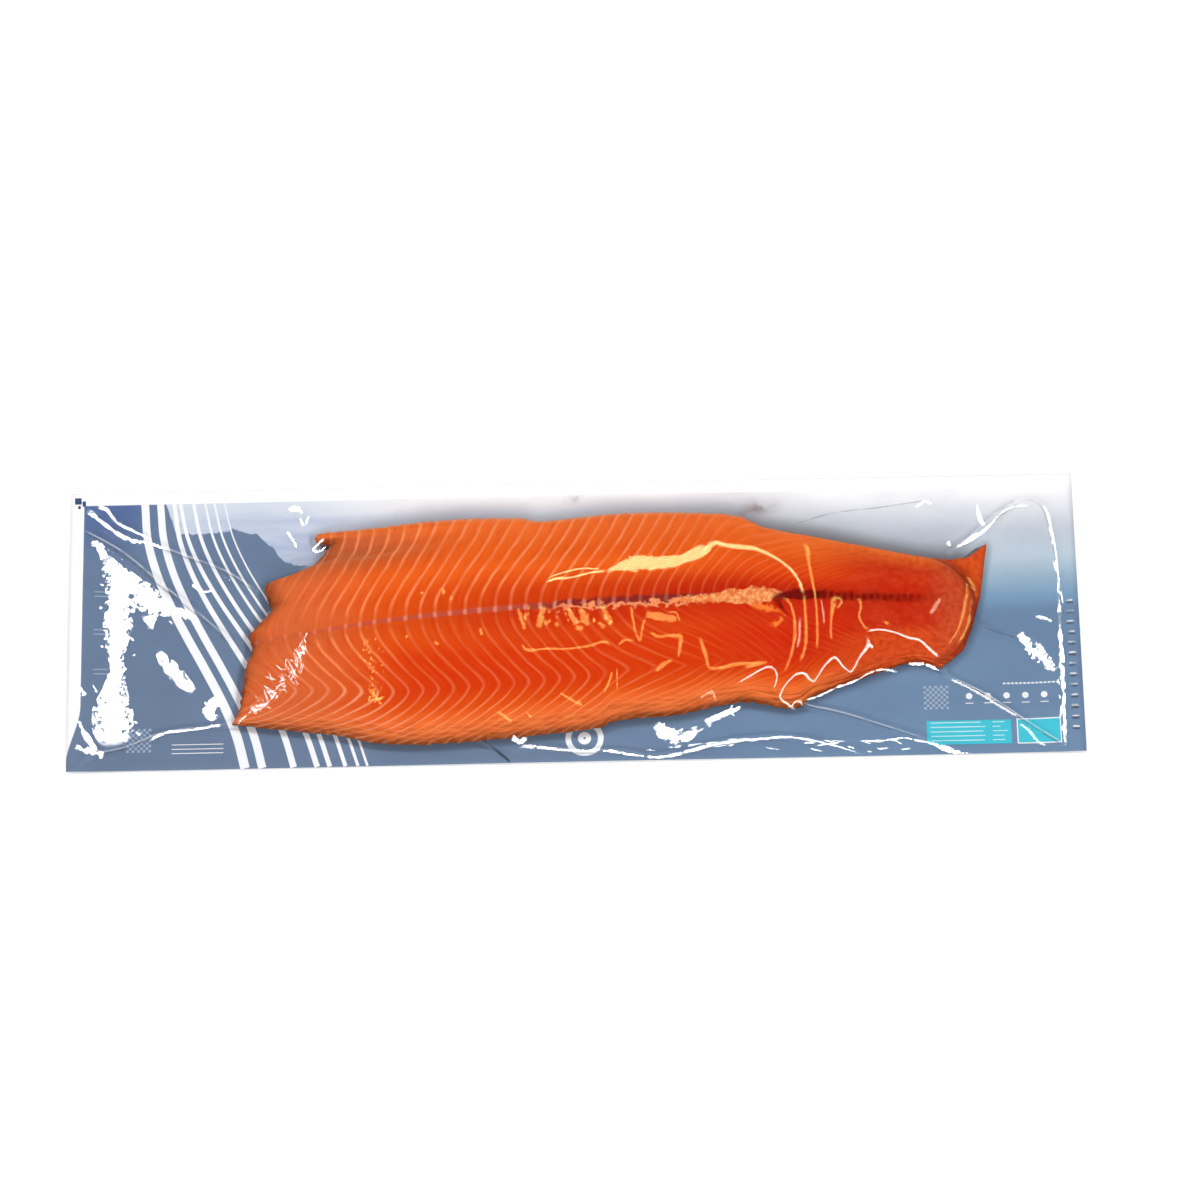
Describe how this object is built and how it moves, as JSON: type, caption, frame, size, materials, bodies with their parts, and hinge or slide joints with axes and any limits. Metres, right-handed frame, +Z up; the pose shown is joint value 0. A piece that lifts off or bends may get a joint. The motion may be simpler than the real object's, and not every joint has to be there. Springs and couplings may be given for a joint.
{
  "type": "vacuum pack of frozen salmon fillet",
  "caption": "Long frozen salmon fillet, flesh side up, vacuum-packed between a printed blue backing film and a clear top film that clings to it.",
  "frame": {"origin": "under the middle of the pack, on the surface that it lies on", "axes": "+X along the fillet from its head end to its tail, +Y across the pack to the edge of the fillet's back, +Z up from the surface"},
  "size_m": [0.65, 0.189, 0.0302],
  "materials": {
    "printed_film": "glossy printed laminate",
    "salmon_flesh": "moist frozen flesh",
    "clear_film": "clear glossy film"
  },
  "bodies": {
    "root": {"backing_film": "printed_film", "salmon_fillet": "salmon_flesh", "clear_film": "clear_film"}
  },
  "joints": []
}
